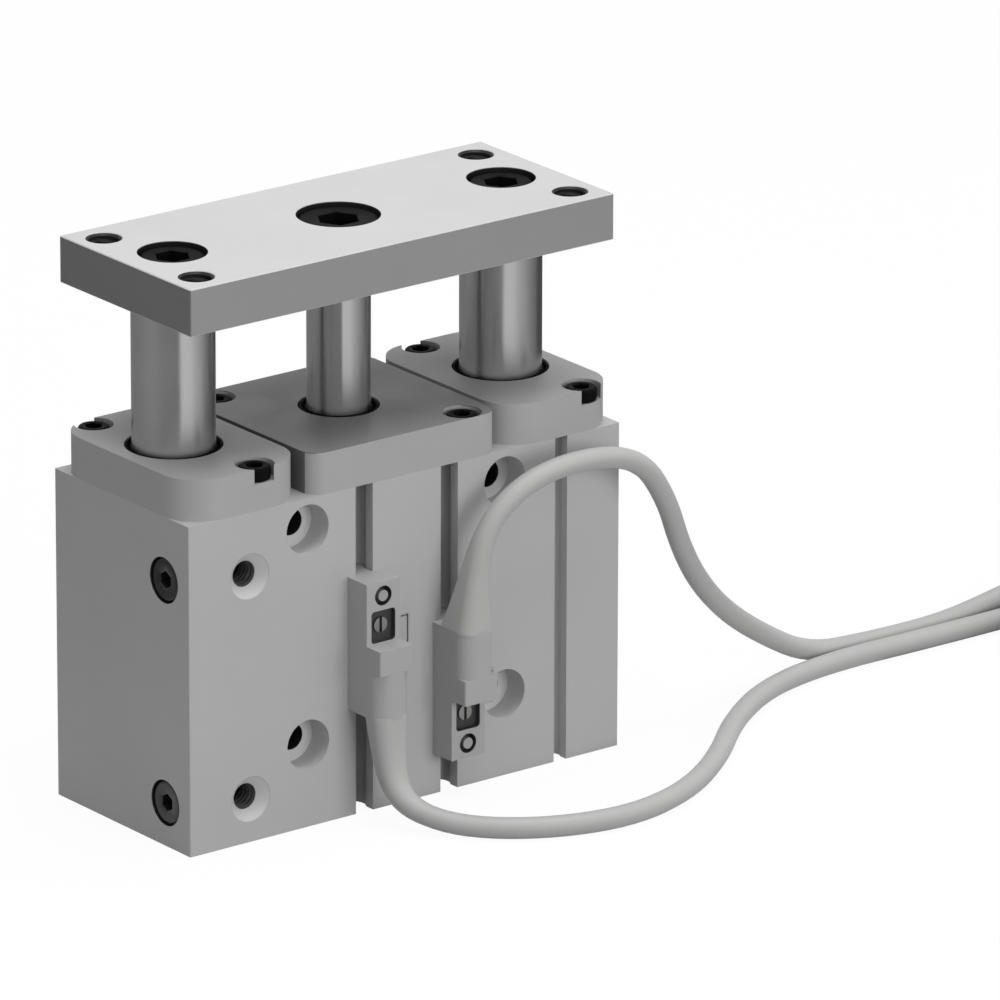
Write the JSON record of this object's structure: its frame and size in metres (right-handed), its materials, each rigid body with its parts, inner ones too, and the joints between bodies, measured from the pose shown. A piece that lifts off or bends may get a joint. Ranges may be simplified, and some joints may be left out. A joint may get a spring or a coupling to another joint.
{
  "type": "guided pneumatic cylinder",
  "caption": "Compact guided pneumatic cylinder, rod extended: anodised block body, guide rods and piston rod under a tooling plate, groove-mounted position switches with leads.",
  "frame": {"origin": "centre of the body's bottom face, on the piston axis, midway between the bottom tapped holes", "axes": "+Z along the stroke towards the end plate, -Y out of the front face that holds the ports and sensor grooves, +X from the port side to the plain side"},
  "size_m": [0.2112, 0.0803, 0.091],
  "materials": {
    "body_anodised": "matte clear anodised aluminium",
    "plate_anodised": "fine milled, clear anodised aluminium",
    "ground_rod": "hard, centreless ground steel",
    "chromed_rod": "hard chromed steel",
    "black_screw": "black oxide steel",
    "bright_screw": "nickel plated steel",
    "spring_steel": "phosphated spring steel",
    "bush_bronze": "sintered bronze",
    "black_rubber": "nitrile rubber",
    "bumper_urethane": "urethane",
    "wear_ring_plastic": "bearing plastic",
    "magnet": "plastic-bonded magnet",
    "switch_plastic": "moulded plastic, fine matt",
    "clear_lens": "cloudy clear plastic",
    "lead_jacket": "oil-resistant vinyl jacket",
    "tie_plastic": "moulded nylon",
    "wire_brown": "vinyl insulation",
    "wire_blue": "vinyl insulation"
  },
  "bodies": {
    "barrel": {"cylinder_body": "body_anodised", "left_guide_cap": "body_anodised", "right_guide_cap": "body_anodised", "rod_cover": "body_anodised", "cap_screws": "black_screw", "left_lower_bush": "bush_bronze", "left_upper_bush": "bush_bronze", "right_lower_bush": "bush_bronze", "right_upper_bush": "bush_bronze", "left_rod_wiper": "black_rubber", "right_rod_wiper": "black_rubber", "rod_bush": "bush_bronze", "rod_seal": "black_rubber", "rod_cover_oring": "black_rubber", "rod_bumper": "bumper_urethane", "head_cover": "body_anodised", "head_cover_oring": "black_rubber", "head_bumper": "bumper_urethane", "retaining_ring": "spring_steel", "port_plugs": "black_screw", "left_switch_housing": "switch_plastic", "right_switch_housing": "switch_plastic", "left_switch_screw": "bright_screw", "right_switch_screw": "bright_screw", "left_switch_lens": "clear_lens", "right_switch_lens": "clear_lens", "left_lead": "lead_jacket", "right_lead": "lead_jacket", "left_lead_coil": "lead_jacket", "right_lead_coil": "lead_jacket", "lead_tie": "tie_plastic", "left_lead_wires": "wire_brown", "right_lead_wires": "wire_blue"},
    "carriage": {"end_plate": "plate_anodised", "left_guide_rod": "ground_rod", "right_guide_rod": "ground_rod", "piston_rod": "chromed_rod", "guide_rod_screws": "black_screw", "piston_rod_screw": "black_screw", "piston": "body_anodised", "wear_ring": "wear_ring_plastic", "magnet_ring": "magnet", "piston_seal": "black_rubber", "piston_nut": "spring_steel"}
  },
  "joints": [
    {"name": "stroke", "type": "slide", "parent": "barrel", "child": "carriage", "axis": [0, 0, 1], "range_m": [-0.02, 0]}
  ]
}
